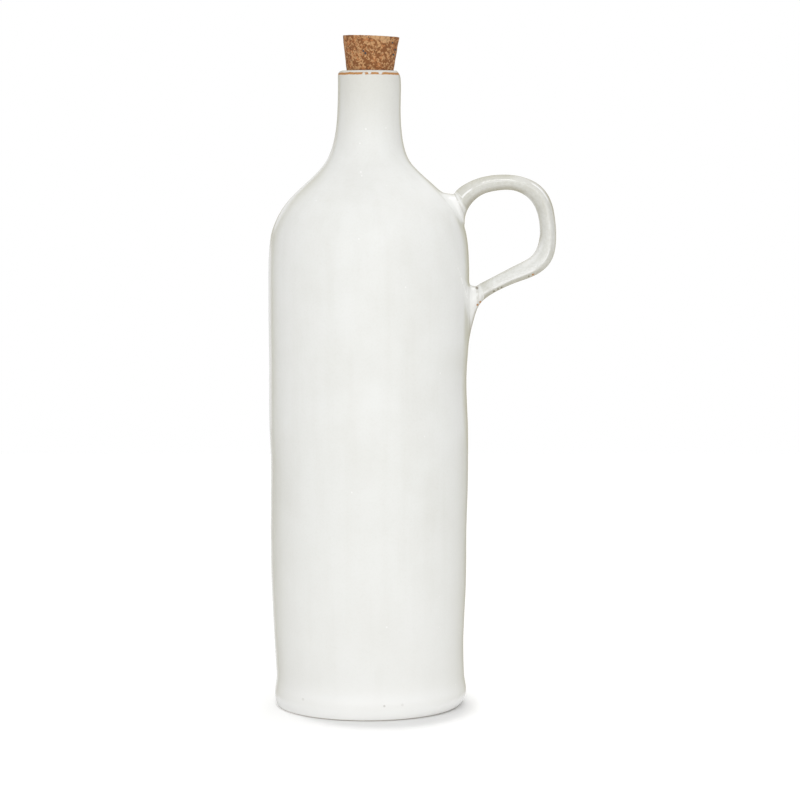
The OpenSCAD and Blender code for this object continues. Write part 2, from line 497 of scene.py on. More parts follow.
def throw_rings(rings, last):
    """Draws the selected ring through (height, radius, shift) rings, and returns the last one."""
    for ring in rings:
        height, radius = ring[0], ring[1]
        shift = ring[2] if len(ring) > 2 else 0.0
        step = (shift - last[2], 0.0, height - last[0])
        growth = radius / last[1]
        draw_ring(step, (growth, growth, 1.0), (shift, 0.0, height))
        last = (height, radius, shift)
    return last


def close_ring():
    """Closes the selected ring to a point and turns every face outwards."""
    bpy.ops.mesh.extrude_region_move(TRANSFORM_OT_translate={"value": (0.0, 0.0, 0.0)})
    bpy.ops.mesh.merge(type="CENTER")
    bpy.ops.mesh.select_all(action="SELECT")
    bpy.ops.mesh.normals_make_consistent(inside=False)


def apply_modifiers(piece):
    """Applies every modifier of the piece, in order."""
    make_active(piece)
    for modifier in list(piece.modifiers):
        bpy.ops.object.modifier_apply(modifier=modifier.name)


class OILBOTTLE_OT_throw_body(bpy.types.Operator):
    """Throw the hollow body, ring by ring, from under its foot over the lip to its floor"""

    bl_idname = "oil_bottle.throw_body"
    bl_label = "Throw the Body"

    def execute(self, context):
        settings = context.scene.oil_bottle_body
        piece = open_mesh("glazed_bottle")
        hollow = (0.70 * MM, 24.0 * MM, 0.0)
        bpy.ops.mesh.primitive_circle_add(
            vertices=settings.segments,
            radius=hollow[1],
            fill_type="TRIFAN",
            location=(0.0, 0.0, hollow[0]),
        )
        select_parts(piece, "VERT", lambda vert: vert.co.xy.length > hollow[1] / 2)
        last = throw_rings(scaled(UNDERSIDE_RINGS), hollow)
        last = throw_rings(scaled(OUTSIDE_RINGS), last)
        throw_rings(scaled(INSIDE_RINGS), last)
        close_ring()
        bpy.ops.object.mode_set(mode="OBJECT")
        return {"FINISHED"}


def wall_radius(height):
    """Outer radius of the thrown wall at that height."""
    rings = scaled(OUTSIDE_RINGS)
    for (low, low_radius, _), (high, high_radius, _) in zip(rings, rings[1:]):
        if low <= height <= high:
            share = (height - low) / (high - low)
            return low_radius + (high_radius - low_radius) * share
    raise ValueError("no ring at that height")


def loop_places(loop, on_wall):
    """Places of a root loop's vertices, clockwise from its top as seen from the handle."""
    top, low, width, narrowing, _ = loop
    middle = Vector((top[0] + low[0], 0.0, top[1] + low[1])) * (MM / 2)
    upward = Vector((top[0] - low[0], 0.0, top[1] - low[1])) * (MM / 2)
    places = []
    for k in range(STRAP_SIDES):
        angle = math.tau * k / STRAP_SIDES
        share = (1 - math.cos(angle)) / 2
        half_width = width * MM / 2 * (1 - narrowing * share)
        place = middle + upward * math.cos(angle)
        place.y = half_width * math.sin(angle)
        if on_wall:
            place.x = math.sqrt(wall_radius(place.z) ** 2 - place.y**2)
        places.append(place)
    return places


def mark_strap(strap):
    """Writes on each vertex of the strap how far outwards and how far along it lies."""
    way = strap.data.attributes.new("strap_way", "FLOAT_VECTOR", "POINT")
    for vert in strap.data.vertices:
        for number, (x, z, heading, thickness, _) in enumerate(STRAP_SECTIONS):
            tilt = math.radians(heading)
            away = vert.co - Vector((x, 0.0, z)) * MM
            along = away.x * math.cos(tilt) + away.z * math.sin(tilt)
            outward = (away.z * math.cos(tilt) - away.x * math.sin(tilt)) / (thickness * MM / 2)
            if abs(along) < 0.05 * MM and abs(outward) < 1.1:
                share = number / (len(STRAP_SECTIONS) - 1)
                way.data[vert.index].vector = (outward, share, 1.0)


def mark_loop(piece, mark):
    """Writes on the selected vertices what they lie on."""
    mesh = bmesh.from_edit_mesh(piece.data)
    layers = mesh.verts.layers.float_vector
    layer = layers.get("strap_way") or layers.new("strap_way")
    for vert in mesh.verts:
        if vert.select:
            vert[layer] = mark
    bmesh.update_edit_mesh(piece.data)


def section_places(middle, heading, half_thickness, half_width):
    """Places of a strap section's vertices, clockwise from its top as seen from the handle."""
    tilt = math.radians(heading)
    outward = Vector((-math.sin(tilt), 0.0, math.cos(tilt)))
    places = []
    for k in range(STRAP_SIDES):
        out, aside = STRAP_PROFILE[min(k, STRAP_SIDES - k)]
        place = middle + outward * (out * half_thickness)
        place.y = aside * half_width * (1 if k < STRAP_SIDES / 2 else -1)
        places.append(place)
    return places


def move_loop(piece, places):
    """Moves the vertices of the selected loop to the places, each in its turn from the top."""
    mesh = bmesh.from_edit_mesh(piece.data)
    loop = [vert for vert in mesh.verts if vert.select]
    middle = sum((vert.co for vert in loop), Vector()) / len(loop)
    half_step = math.pi / STRAP_SIDES

    def turn(vert):
        away = vert.co - middle
        return (math.atan2(away.y, away.z) + half_step) % math.tau

    order = [vert.index for vert in sorted(loop, key=turn)]
    for index, place in zip(order, places):
        bpy.ops.mesh.select_all(action="DESELECT")
        mesh = bmesh.from_edit_mesh(piece.data)
        mesh.verts.ensure_lookup_table()
        mesh.verts[index].select_set(True)
        step = place - mesh.verts[index].co
        bmesh.update_edit_mesh(piece.data)
        bpy.ops.transform.translate(value=step)
    wanted = set(order)
    select_parts(piece, "VERT", lambda vert: vert.index in wanted)


def open_root(piece, root):
    """Opens the wall at a root and draws its loops outwards."""
    segments = bpy.context.scene.oil_bottle_body.segments
    reach = math.pi * ROOT_SEGMENTS / segments
    low, high = (ring * MM for ring in root["rings"])

    def in_patch(face):
        place = face.calc_center_median()
        aside = abs(math.atan2(place.y, place.x))
        return aside < reach and low < place.z < high and face.normal.x > 0

    select_parts(piece, "FACE", in_patch)
    bpy.ops.mesh.inset(thickness=1.0 * MM)
    bpy.ops.mesh.delete(type="FACE")
    bpy.ops.mesh.select_mode(type="VERT")
    bpy.ops.mesh.select_non_manifold(
        extend=False, use_wire=False, use_multi_face=False, use_non_contiguous=False, use_verts=False
    )
    mesh = bmesh.from_edit_mesh(piece.data)
    edge = {vert.index for vert in mesh.verts if vert.select and low < vert.co.z < high}
    select_parts(piece, "VERT", lambda vert: vert.index in edge)
    on_wall = True
    for loop in root["loops"]:
        if not on_wall:
            bpy.ops.mesh.extrude_region_move(TRANSFORM_OT_translate={"value": (0.0, 0.0, 0.0)})
        move_loop(piece, loop_places(loop, on_wall))
        mark_loop(piece, loop[-1])
        on_wall = False


def pull_strap():
    """Pulls the strap of the handle section by section, as an open tube of its own."""
    strap = open_mesh("strap")
    x, z, heading, thickness, width = STRAP_SECTIONS[0]
    place = Vector((x, 0.0, z)) * MM
    bpy.ops.mesh.primitive_circle_add(
        vertices=STRAP_SIDES,
        radius=thickness * MM / 2,
        fill_type="NOTHING",
        location=place,
        rotation=(0.0, math.radians(90 - heading), 0.0),
    )
    move_loop(strap, section_places(place, heading, thickness * MM / 2, width * MM / 2))
    last = STRAP_SECTIONS[0]
    for section in STRAP_SECTIONS[1:]:
        x, z, heading, thickness, width = section
        step = Vector((x - last[0], 0.0, z - last[1])) * MM
        place = place + step
        grow = thickness / last[3]
        widen = width / last[4] / grow
        draw_ring(step, (grow, grow, grow), place)
        bpy.ops.transform.resize(value=(1.0, widen, 1.0), center_override=place)
        bpy.ops.transform.rotate(
            value=math.radians(heading - last[2]), orient_axis="Y", center_override=place
        )
        last = section
    bpy.ops.object.mode_set(mode="OBJECT")
    mark_strap(strap)
    return strap


def bridge_ends(piece, low, high):
    """Bridges the two open loops between those heights."""

    def at_gap(edge):
        height = (edge.verts[0].co.z + edge.verts[1].co.z) / 2
        return edge.is_boundary and low < height < high

    select_parts(piece, "EDGE", at_gap)
    bpy.ops.mesh.bridge_edge_loops()


class OILBOTTLE_OT_pull_handle(bpy.types.Operator):
    """Open the wall at the two roots, pull the strap and lute it on"""

    bl_idname = "oil_bottle.pull_handle"
    bl_label = "Pull the Handle"

    def execute(self, context):
        piece = bpy.data.objects["glazed_bottle"]
        strap = pull_strap()
        make_active(piece)
        bpy.ops.object.mode_set(mode="EDIT")
        for root in (UPPER_ROOT, LOWER_ROOT):
            open_root(piece, root)
        bpy.ops.object.mode_set(mode="OBJECT")
        strap.select_set(True)
        bpy.ops.object.join()
        bpy.ops.object.mode_set(mode="EDIT")
        for root in (UPPER_ROOT, LOWER_ROOT):
            bridge_ends(piece, *(height * MM for height in root["bridge"]))
        bpy.ops.mesh.select_mode(type="VERT")
        bpy.ops.mesh.select_all(action="SELECT")
        bpy.ops.mesh.normals_make_consistent(inside=False)
        bpy.ops.object.mode_set(mode="OBJECT")
        return {"FINISHED"}


def add_node(kind, inputs, **settings):
    """Adds a node to the tree of the sockets that feed it. Each input is a socket or a value."""
    sockets = [value for value in inputs.values() if isinstance(value, bpy.types.NodeSocket)]
    tree = sockets[0].id_data
    node = tree.nodes.new(kind)
    for name, value in settings.items():
        setattr(node, name, value)
    for name, value in inputs.items():
        if isinstance(value, bpy.types.NodeSocket):
            tree.links.new(value, node.inputs[name])
        else:
            node.inputs[name].default_value = value
    return node


def calculate(operation, first, *others):
    """Clamped result of math nodes that take in the other values one after another."""
    for other in others:
        node = add_node("ShaderNodeMath", {0: first, 1: other}, operation=operation, use_clamp=True)
        first = node.outputs["Value"]
    return first


def product(*shares):
    """The shares multiplied together."""
    return calculate("MULTIPLY", *shares)


def strongest(*shares):
    """The largest of the shares."""
    return calculate("MAXIMUM", *shares)


def total(*shares):
    """The shares added up, to 1 at most."""
    return calculate("ADD", *shares)


def rest_of(share):
    """What the share leaves of the whole."""
    return calculate("SUBTRACT", 1.0, share)


def spread(value, low, high, most=1.0):
    """The value as a smooth share, 0 at low and most at high."""
    node = add_node(
        "ShaderNodeMapRange",
        {"Value": value, "From Min": min(low, high), "From Max": max(low, high)},
        interpolation_type="SMOOTHSTEP",
    )
    node.inputs["To Min"].default_value = 0.0 if low < high else most
    node.inputs["To Max"].default_value = most if low < high else 0.0
    return node.outputs["Result"]


def between(value, rise, fall):
    """Share that rises from 0 to 1 over the first pair of values and falls over the second."""
    return product(spread(value, *rise), spread(value, *reversed(fall)))


def mix_colours(share, first, second, blend="MIX"):
    """The first colour, taken over by the second by that share."""
    node = add_node(
        "ShaderNodeMix",
        {"Factor": share, "A": first, "B": second},
        data_type="RGBA",
        blend_type=blend,
    )
    return node.outputs["Result"]


def cover(colour, layers):
    """The colour, covered in turn by each layer's colour where that layer has its share."""
    for share, layer_colour in layers:
        colour = mix_colours(share, colour, layer_colour)
    return colour


def split(vector):
    """The X, Y and Z parts of a vector."""
    node = add_node("ShaderNodeSeparateXYZ", {"Vector": vector})
    return node.outputs["X"], node.outputs["Y"], node.outputs["Z"]


def distance(place, other):
    """How far the place is from the other."""
    node = add_node("ShaderNodeVectorMath", {0: place, 1: other}, operation="DISTANCE")
    return node.outputs["Value"]


def stretch(place, scale, offset=(0.0, 0.0, 0.0), turn=0.0):
    """The place, scaled along each axis, turned about Y and moved."""
    node = add_node(
        "ShaderNodeMapping",
        {"Vector": place, "Scale": scale, "Rotation": (0.0, turn, 0.0), "Location": offset},
    )
    return node.outputs["Vector"]


def noise(place, scale, detail=2.0, roughness=0.5):
    """Share of a soft noise."""
    node = add_node(
        "ShaderNodeTexNoise",
        {"Vector": place, "Scale": scale, "Detail": detail, "Roughness": roughness},
    )
    return node.outputs["Fac"]


def warped(place, scale, amount):
    """The place, pushed about by a noise of that scale."""
    push = add_node("ShaderNodeTexNoise", {"Vector": place, "Scale": scale, "Detail": 2.0})
    node = add_node(
        "ShaderNodeVectorMath",
        {0: push.outputs["Color"], 1: (amount, amount, amount), 2: place},
        operation="MULTIPLY_ADD",
    )
    return node.outputs["Vector"]


def cells(place, scale, feature="F1"):
    """A Voronoi node of cells round scattered points."""
    return add_node("ShaderNodeTexVoronoi", {"Vector": place, "Scale": scale}, feature=feature)


def cell_shades(node):
    """The random shades of a Voronoi node's cells, by channel."""
    return add_node("ShaderNodeSeparateColor", {"Color": node.outputs["Color"]}).outputs


def spots(place, scale, size, kept):
    """Share of small round spots scattered at that scale, of which only the kept share shows."""
    node = cells(place, scale)
    dot = spread(node.outputs["Distance"], size, size * 0.45)
    chosen = calculate("LESS_THAN", cell_shades(node)["Red"], kept)
    return product(dot, chosen)


def in_front(place, least=0.0):
    """Share of what lies further towards the front of the piece than the least."""
    return spread(split(place)[1], 0.2 - least, -0.2 - least)


def spot_at(place, x, z, radius, least=0.0):
    """Share of one soft spot, further towards the front of the piece than the least."""
    seen = stretch(place, (1.0, 0.0, 1.0))
    spot = spread(distance(seen, (x, 0.0, z)), radius, radius * 0.5)
    return product(spot, in_front(place, least))


def line_at(place, start, end, width):
    """Share of one soft line between two places (x, height) on the front half of the piece."""
    first = (start[0], 0.0, start[1])
    way = Vector((end[0] - start[0], 0.0, end[1] - start[1]))
    seen = stretch(place, (1.0, 0.0, 1.0))
    off = add_node("ShaderNodeVectorMath", {0: seen, 1: first}, operation="SUBTRACT")
    shadow = add_node(
        "ShaderNodeVectorMath",
        {0: off.outputs["Vector"], 1: tuple(way / way.length_squared)},
        operation="DOT_PRODUCT",
    )
    share = calculate("MAXIMUM", shadow.outputs["Value"], 0.0)
    nearest = add_node("ShaderNodeVectorMath", {0: tuple(way), "Scale": share}, operation="SCALE")
    away = distance(off.outputs["Vector"], nearest.outputs["Vector"])
    return product(spread(away, width / 2, width / 5), in_front(place))


def start_material(name):
    """A new node material, its tree, its shader, and the place (in millimetres) and the normal
    on the piece."""
    material = bpy.data.materials.new(name)
    material.use_nodes = True
    tree = material.node_tree
    shader = tree.nodes["Principled BSDF"]
    coordinates = tree.nodes.new("ShaderNodeTexCoord")
    place = stretch(coordinates.outputs["Object"], (1000.0, 1000.0, 1000.0))
    return material, tree, shader, place, coordinates.outputs["Normal"]


def grey(value):
    """An opaque grey colour."""
    return (value, value, value, 1.0)


def strap_shares(tree):
    """Where the glaze lies on the strap, as the handle was marked when it was pulled."""
    way = tree.nodes.new("ShaderNodeAttribute")
    way.attribute_name = "strap_way"
    outward, along, on = split(way.outputs["Vector"])
    on_strap = spread(on, 0.75, 1.0)
    arm = spread(along, 0.68, 0.78)
    return StrapShares(outward, along, on, on_strap, arm)


def thinness_and_strap_shade(place, height, strap, patches, clouds):
    """How thin the glaze is: a little in clouds and runs, more on the neck and the strap, where it is
    partly thin glaze and partly painted shade.
    """
    runs = noise(stretch(place, (1.0, 1.0, 0.07)), 0.24, 3.0)
    mottle = noise(place, 1.3, 3.0, 0.6)
    # On the strap this is partly painted shade: greyer everywhere but its lower arm, more so along its
    # top, in patches, on its outer face and at its ends
    bend = product(rest_of(strap.arm), 0.30)
    top_bend = spread(strap.along, 0.55, 0.42, 0.22)
    on_handle = total(spread(patches, 0.35, 0.65, 0.32), bend, top_bend)
    edges = spread(strap.outward, 0.28, 0.50, 0.2)
    ends = total(spread(strap.along, 0.06, 0.02), spread(strap.along, 0.94, 0.98))
    return total(
        spread(height, 188.0, 218.0, 0.60),
        product(on_handle, strap.on_strap),
        product(strongest(edges, ends), 0.5, strap.on_strap),
        spread(clouds, 0.3, 0.8, 0.24),
        spread(runs, 0.4, 0.8, 0.12),
        spread(mottle, 0.4, 0.8, 0.12),
    )


def strap_patch(strap, rise, fall, outward, most):
    """Share of one patch on the strap, by how far along and how far outwards it lies."""
    along = between(strap.along, rise, fall)
    return product(along, spread(strap.outward, *outward, most), strap.on_strap)


def painted_highlight_run(strap, start, end, strength, middle, half):
    """Share of one painted highlight along the ridge of the strap."""
    run = between(strap.along, (start - 0.02, start), (end, end + 0.02))
    inner_side = (middle - half, middle - half / 3)
    outer_side = (middle + half / 3, middle + half)
    line = between(strap.outward, inner_side, outer_side)
    return product(run, line, strength, strap.on_strap)


def painted_tail_shade(strap, normal, height):
    """Painted shade on the outer edge of the tail under the handle, on its side that turns away from the
    light.
    """
    facing = spread(split(normal)[0], 0.76, 0.97, 0.75)
    on_tail = spread(strap.on, 0.05, 0.3)
    return product(facing, on_tail, spread(height, 143.0, 140.0))


def painted_light_beside_root(strap, across, height):
    """Painted light on the shoulder beside the upper root, in the white of pooled glaze."""
    to_handle = spread(across, 13.0, 21.0, 0.3)
    off_strap = spread(strap.on_strap, 0.1, 0.0)
    return product(to_handle, spread(height, 171.0, 177.0), off_strap)


def iron_specks(place):
    """Brown specks in the glaze: a few scattered ones, and those that the camera sees."""
    moved = stretch(place, (1.0, 1.0, 1.0), (7.0, 3.0, 5.0))
    specks = product(spots(moved, 0.06, 0.022, 0.6), 0.5)
    for x, z, radius, strength in SPECKS:
        speck = product(spot_at(place, x, z, radius, SPECK_FRONT), strength)
        specks = strongest(specks, speck)
    return specks


def bare_clay(place, height):
    """Where no glaze covers the clay: a broken line at the lip, spots at the handle, and the
    hollow under the foot."""
    ragged = noise(stretch(place, (1.0, 1.0, 0.2)), 0.75, 3.0, 0.6)
    wavering = add_node(
        "ShaderNodeMath", {0: ragged, 1: LIP_LINE_WAVER, 2: height}, operation="MULTIPLY_ADD"
    ).outputs["Value"]
    lip_line = between(wavering, LIP_LINE_LOW, LIP_LINE_HIGH)
    flat_place = stretch(place, (1.0, 1.0, 0.0))
    blobs = spread(noise(flat_place, 0.36, 1.0), 0.54, 0.60)
    behind = spread(split(place)[1], -6.0, 0.0)
    covered = product(blobs, behind)
    covered = strongest(covered, *(spot_at(place, *blob) for blob in LIP_BLOBS))
    from_axis = distance(flat_place, (0.0, 0.0, 0.0))
    outside = spread(from_axis, 8.9, 9.4)
    lip_line = product(lip_line, rest_of(covered), outside)
    in_hollow = product(spread(from_axis, 30.4, 30.1), spread(height, 1.6, 1.2))
    bare_spots = (spot_at(place, *spot) for spot in BARE_SPOTS)
    return strongest(lip_line, in_hollow, *bare_spots)


def bump(height, strength, depth, **under):
    """The normal of a surface with that relief, over the relief under it if one is given."""
    settings = {"Height": height, "Strength": strength, "Distance": depth, **under}
    return add_node("ShaderNodeBump", settings).outputs["Normal"]


def stoneware_glaze(colours):
    """Glossy off-white glaze, thin and warm on the neck, bare clay at the lip and under the foot."""
    material, tree, shader, place, normal = start_material("stoneware glaze")
    across, _, height = split(place)
    strap = strap_shares(tree)
    clouds = noise(place, 0.05, 3.0)
    patches = noise(place, 0.85, 4.0, 0.6)
    thinness_and_shade = thinness_and_strap_shade(place, height, strap, patches, clouds)
    glaze = mix_colours(thinness_and_shade, (*colours.glaze, 1.0), (*colours.thin_glaze_and_shade, 1.0))

    # Whiter towards the foot: partly glaze pooled thick low down, partly painted light from the table
    # below
    pooled_and_bounce_light = total(spread(height, 80.0, 2.0, 0.35), spread(height, 16.0, 4.0, 0.35))
    # Painted shade on the strap, where it faces down or away from the light
    strap_shade = strongest(*(strap_patch(strap, *patch) for patch in PAINTED_SHADE_PATCHES))
    past_lute = spread(strap.on, 0.55, 0.9, 0.7)
    on_lute = calculate("SUBTRACT", spread(strap.on, 0.22, 0.45, 0.7), past_lute)
    pale_streak = product(line_at(place, *PALE_STREAK), spread(patches, 0.45, 0.55))
    # Painted shade in the crease round each root of the strap
    crease_shade = spread(strap.outward, -1.05, -1.7, 0.35)
    crease_shade = product(crease_shade, spread(patches, 0.30, 0.50))
    glints = (spot_at(place, *glint) for glint in PAINTED_GLINTS)
    clay_grain = spread(noise(place, 3.0, 3.0, 0.7), 0.35, 0.7)
    fired_clay = mix_colours(clay_grain, (*colours.clay, 1.0), DARK_CLAY)
    bare = bare_clay(place, height)
    layers = (
        (pooled_and_bounce_light, POOLED_GLAZE_AND_PAINTED_LIGHT),
        (strap_shade, PAINTED_SHADE_GREY),
        # painted light inside the strap's lower corner
        (strap_patch(strap, *PAINTED_LIGHT_CORNER_PATCH), POOLED_GLAZE_AND_PAINTED_LIGHT),
        (on_lute, POOLED_GLAZE_AND_PAINTED_LIGHT),
        # painted shade on the tail's side turned away from the light
        (painted_tail_shade(strap, normal, height), PAINTED_SHADE_GREY),
        # painted light on the shoulder beside the upper root
        (painted_light_beside_root(strap, across, height), POOLED_GLAZE_AND_PAINTED_LIGHT),
        (pale_streak, POOLED_GLAZE_AND_PAINTED_LIGHT),
        (crease_shade, CREASE_SHADE),
        # painted highlights along the strap's ridge
        (strongest(*(painted_highlight_run(strap, *run) for run in PAINTED_HIGHLIGHT_RUNS)), POOLED_GLAZE_AND_PAINTED_LIGHT),
        # pale flecks scattered in the glaze, with the painted glints on the shoulder
        (strongest(spots(place, 0.17, 0.075, 0.25), *glints), POOLED_GLAZE_AND_PAINTED_LIGHT),
        (iron_specks(place), SPECK_BROWN),
        # The foot's lowest edge: partly its thin glaze, partly painted contact shade
        (spread(height, 0.50, 0.15, 0.4), THIN_FOOT_AND_CONTACT_SHADE),
        (bare, fired_clay),
    )
    tree.links.new(cover(glaze, layers), shader.inputs["Base Color"])

    gloss = add_node("ShaderNodeMapRange", {"Value": clouds, "To Min": 0.13, "To Max": 0.19})
    rough = add_node(
        "ShaderNodeMix",
        {"Factor": bare, "A": gloss.outputs["Result"], "B": 0.85},
        data_type="FLOAT",
    )
    tree.links.new(rough.outputs["Result"], shader.inputs["Roughness"])
    shader.inputs["IOR"].default_value = 1.5
    waves = bump(noise(place, 0.10, 1.0), 0.5, 0.06 * MM)
    skin = bump(noise(place, 0.7), 0.5, 0.008 * MM, Normal=waves)
    tree.links.new(skin, shader.inputs["Normal"])
    return material


def pale_granule(torn, place, x, z, half_width, half_height):
    """Share of one large pale granule on the front of the cork."""
    shrunk = stretch(torn, (1 / half_width, 0.0, 1 / half_height))
    away = distance(shrunk, (x / half_width, 0.0, z / half_height))
    front = spread(split(place)[1], -5.0, -6.0)
    return product(spread(away, 1.05, 0.92), front)


def pressed_cork(colours):
    """Matt cork pressed from granules of several browns, with painted shade in its gaps and pits."""
    material, tree, shader, place, _ = start_material("pressed cork")
    bent = warped(place, 0.9, 1.1)
    torn = warped(place, 2.6, 0.8)
    granules = cell_shades(cells(bent, GRANULE_SCALE))
    crumbs = cell_shades(cells(torn, 1.7))
    layers = [
        (spread(granules["Red"], 0.52, 0.6), CORK_DARK),
        (spread(granules["Green"], 0.82, 0.86), CORK_LIGHT),
        (spread(crumbs["Green"], 0.68, 0.70), CORK_DARK),
        (spread(crumbs["Red"], 0.84, 0.86), CORK_LIGHT),
    ]
    for lean, offset in FLAKE_LEANS:
        leaning = stretch(torn, (1.0, 1.0, 1.0), (offset, 0.0, 0.0), lean)
        flakes = cell_shades(cells(stretch(leaning, (1.0, 1.0, 2.4)), 0.95))
        layers.append((spread(flakes["Red"], 0.85, 0.87), CORK_DARK))
        layers.append((spread(flakes["Green"], 0.85, 0.87), CORK_LIGHT))
    for granule in PALE_GRANULES:
        layers.append((pale_granule(torn, place, *granule), CORK_CHIP))
    colour = cover((*colours.cork, 1.0), layers)
    grain = noise(place, 4.5, 3.0, 0.7)
    brightened = spread(grain, 0.3, 0.8, 0.45)
    colour = mix_colours(brightened, colour, grey(1.0), "SOFT_LIGHT")
    edges = cells(bent, GRANULE_SCALE, "DISTANCE_TO_EDGE")
    gap = spread(edges.outputs["Distance"], 0.045, 0.0)
    pits = spots(place, 0.42, 0.16, 0.10)
    pits = strongest(pits, *(spot_at(place, *pit) for pit in CORK_PITS))
    # Painted shade in the gaps between the granules and in the pits
    colour = cover(colour, ((product(gap, 0.6), CORK_GAP), (pits, CORK_PIT)))
    tree.links.new(colour, shader.inputs["Base Color"])
    shader.inputs["Roughness"].default_value = 0.85
    shader.inputs["Specular IOR Level"].default_value = 0.3
    height = calculate("SUBTRACT", grain, strongest(gap, pits))
    tree.links.new(bump(height, 0.9, 0.10 * MM), shader.inputs["Normal"])
    return material


def weigh_wall(piece):
    """Gives the outside of the wall the vertex group that the unevenness follows."""
    group = piece.vertex_groups.new(name="wall")
    low, high, ramp = 10 * MM, 212 * MM, 10 * MM
    outer_layer = 1.5 * MM
    for vert in piece.data.vertices:
        height = vert.co.z
        if low < height < high and vert.co.xy.length > wall_radius(height) - outer_layer:
            weight = min(1.0, (height - low) / ramp, (high - height) / ramp)
            group.add([vert.index], weight, "REPLACE")


def make_uneven(piece, name, size, depth, middle, group):
    """Moves the vertices in the group in and out by a cloudy texture of that size."""
    texture = bpy.data.textures.new(name, "CLOUDS")
    texture.noise_scale = size
    modifier = piece.modifiers.new(name, "DISPLACE")
    modifier.texture = texture
    modifier.strength = depth
    modifier.mid_level = middle
    modifier.vertex_group = group


def smooth_piece(piece, levels):
    """Splits and smooths the faces of the piece."""
    smooth = piece.modifiers.new("smooth", "SUBSURF")
    smooth.levels = smooth.render_levels = levels
    apply_modifiers(piece)


class OILBOTTLE_OT_glaze_bottle(bpy.types.Operator):
    """Smooth the clay, give it the unevenness of the hand, and glaze it"""

    bl_idname = "oil_bottle.glaze_bottle"
    bl_label = "Glaze the Bottle"

    def execute(self, context):
        settings = context.scene.oil_bottle_body
        colours = context.scene.oil_bottle_colours
        piece = bpy.data.objects["glazed_bottle"]
        smooth_piece(piece, settings.smoothing)
        weigh_wall(piece)
        make_uneven(piece, "broad swells", 45 * MM, settings.unevenness * 1.2, 0.6, "wall")
        make_uneven(piece, "finger marks", 9 * MM, settings.unevenness * 0.35, 0.6, "wall")
        apply_modifiers(piece)
        bpy.ops.object.shade_smooth()
        piece.data.materials.append(stoneware_glaze(colours))
        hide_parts("bottle")
        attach(piece, "bottle")
        return {"FINISHED"}


def cork_ring(settings, height):
    """Height, radius and shift of the cork there, squeezed where it is inside the neck."""
    shift = CORK_SHIFT + (height - CORK_PIVOT) * math.tan(settings.lean)
    radius = settings.top_radius - (CORK_TOP - height) * math.tan(settings.taper)
    if height < LIP_HEIGHT:
        right = min(SQUEEZED_RADIUS, shift + radius)
        left = max(-SQUEEZED_RADIUS, shift - radius)
        return (height, (right - left) / 2, (right + left) / 2)
    return (height, radius, shift)


class OILBOTTLE_OT_cut_cork(bpy.types.Operator):
    """Cut the tapered cork, push it into the mouth at its lean and give it its granules"""

    bl_idname = "oil_bottle.cut_cork"
    bl_label = "Cut the Cork"

    def execute(self, context):
        settings = context.scene.oil_bottle_cork
        colours = context.scene.oil_bottle_colours
        piece = open_mesh("cork_plug")
        low_step, high_step = 1.45 * MM, 1.42 * MM
        heights = [CORK_BOTTOM + 0.4 * MM + low_step * k for k in range(9)]
        heights += [LIP_HEIGHT + 0.3 * MM + high_step * k for k in range(9)]
        _, radius, shift = cork_ring(settings, CORK_BOTTOM)
        lower_edge = radius * LOWER_EDGE_SHARE
        bpy.ops.mesh.primitive_circle_add(
            vertices=44, radius=lower_edge, fill_type="TRIFAN", location=(shift, 0.0, CORK_BOTTOM)
        )
        select_parts(piece, "VERT", lambda vert: (vert.co.xy - Vector((shift, 0.0))).length > radius / 2)
        last = throw_rings(
            [cork_ring(settings, height) for height in heights], (CORK_BOTTOM, lower_edge, shift)
        )
        _, radius, shift = cork_ring(settings, CORK_TOP)
        last = throw_rings([cork_ring(settings, CORK_TOP - 0.10 * MM)], last)
        for share in (0.988, 0.95, 0.85, 0.7, 0.55, 0.4, 0.25, 0.12):
            last = throw_rings([(CORK_TOP, radius * share, shift)], last)
        close_ring()
        select_parts(piece, "VERT", lambda vert: vert.co.z > LIP_HEIGHT + 8 * MM)
        bpy.ops.transform.rotate(
            value=-settings.lean, orient_axis="Y", center_override=(shift, 0.0, CORK_TOP)
        )
        bpy.ops.object.mode_set(mode="OBJECT")
        smooth_piece(piece, 2)
        group = piece.vertex_groups.new(name="outside the neck")
        shown = [vert.index for vert in piece.data.vertices if vert.co.z > LIP_HEIGHT]
        group.add(shown, 1.0, "REPLACE")
        make_uneven(piece, "granules", 1.3 * MM, settings.relief, 0.9, "outside the neck")
        make_uneven(piece, "crumbs", 0.5 * MM, settings.relief * 0.6, 0.9, "outside the neck")
        apply_modifiers(piece)
        bpy.ops.object.shade_smooth()
        piece.data.materials.append(pressed_cork(colours))
        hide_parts("cork_stopper")
        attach(piece, "stopper")
        return {"FINISHED"}


def mirrored_table(place):
    """The table as the glaze mirrors it: pale round the foot and behind the left side of the
    bottle, and as dim as the far room elsewhere."""
    far = spread(distance(place, (0.0, 0.0, 0.0)), 36.0, 52.0)
    # In metres, outwards from the left side of the bottle and back from its middle
    from_left = stretch(place, (-0.001, 0.001, 0.0), (-0.033, 0.0, 0.0))
    aside, back, _ = split(from_left)
    straight_back = spread(calculate("DIVIDE", aside, back), 0.46, 0.38)
    behind = product(spread(aside, 0.0, 0.002), spread(back, 0.0, 0.01))
    dim = product(far, rest_of(product(straight_back, behind)))
    return mix_colours(dim, grey(0.90), MIRRORED_TABLE)


def seen_directly(rays):
    """Share of what the camera sees itself or through something clear."""
    return strongest(rays.outputs["Is Camera Ray"], rays.outputs["Is Transmission Ray"])


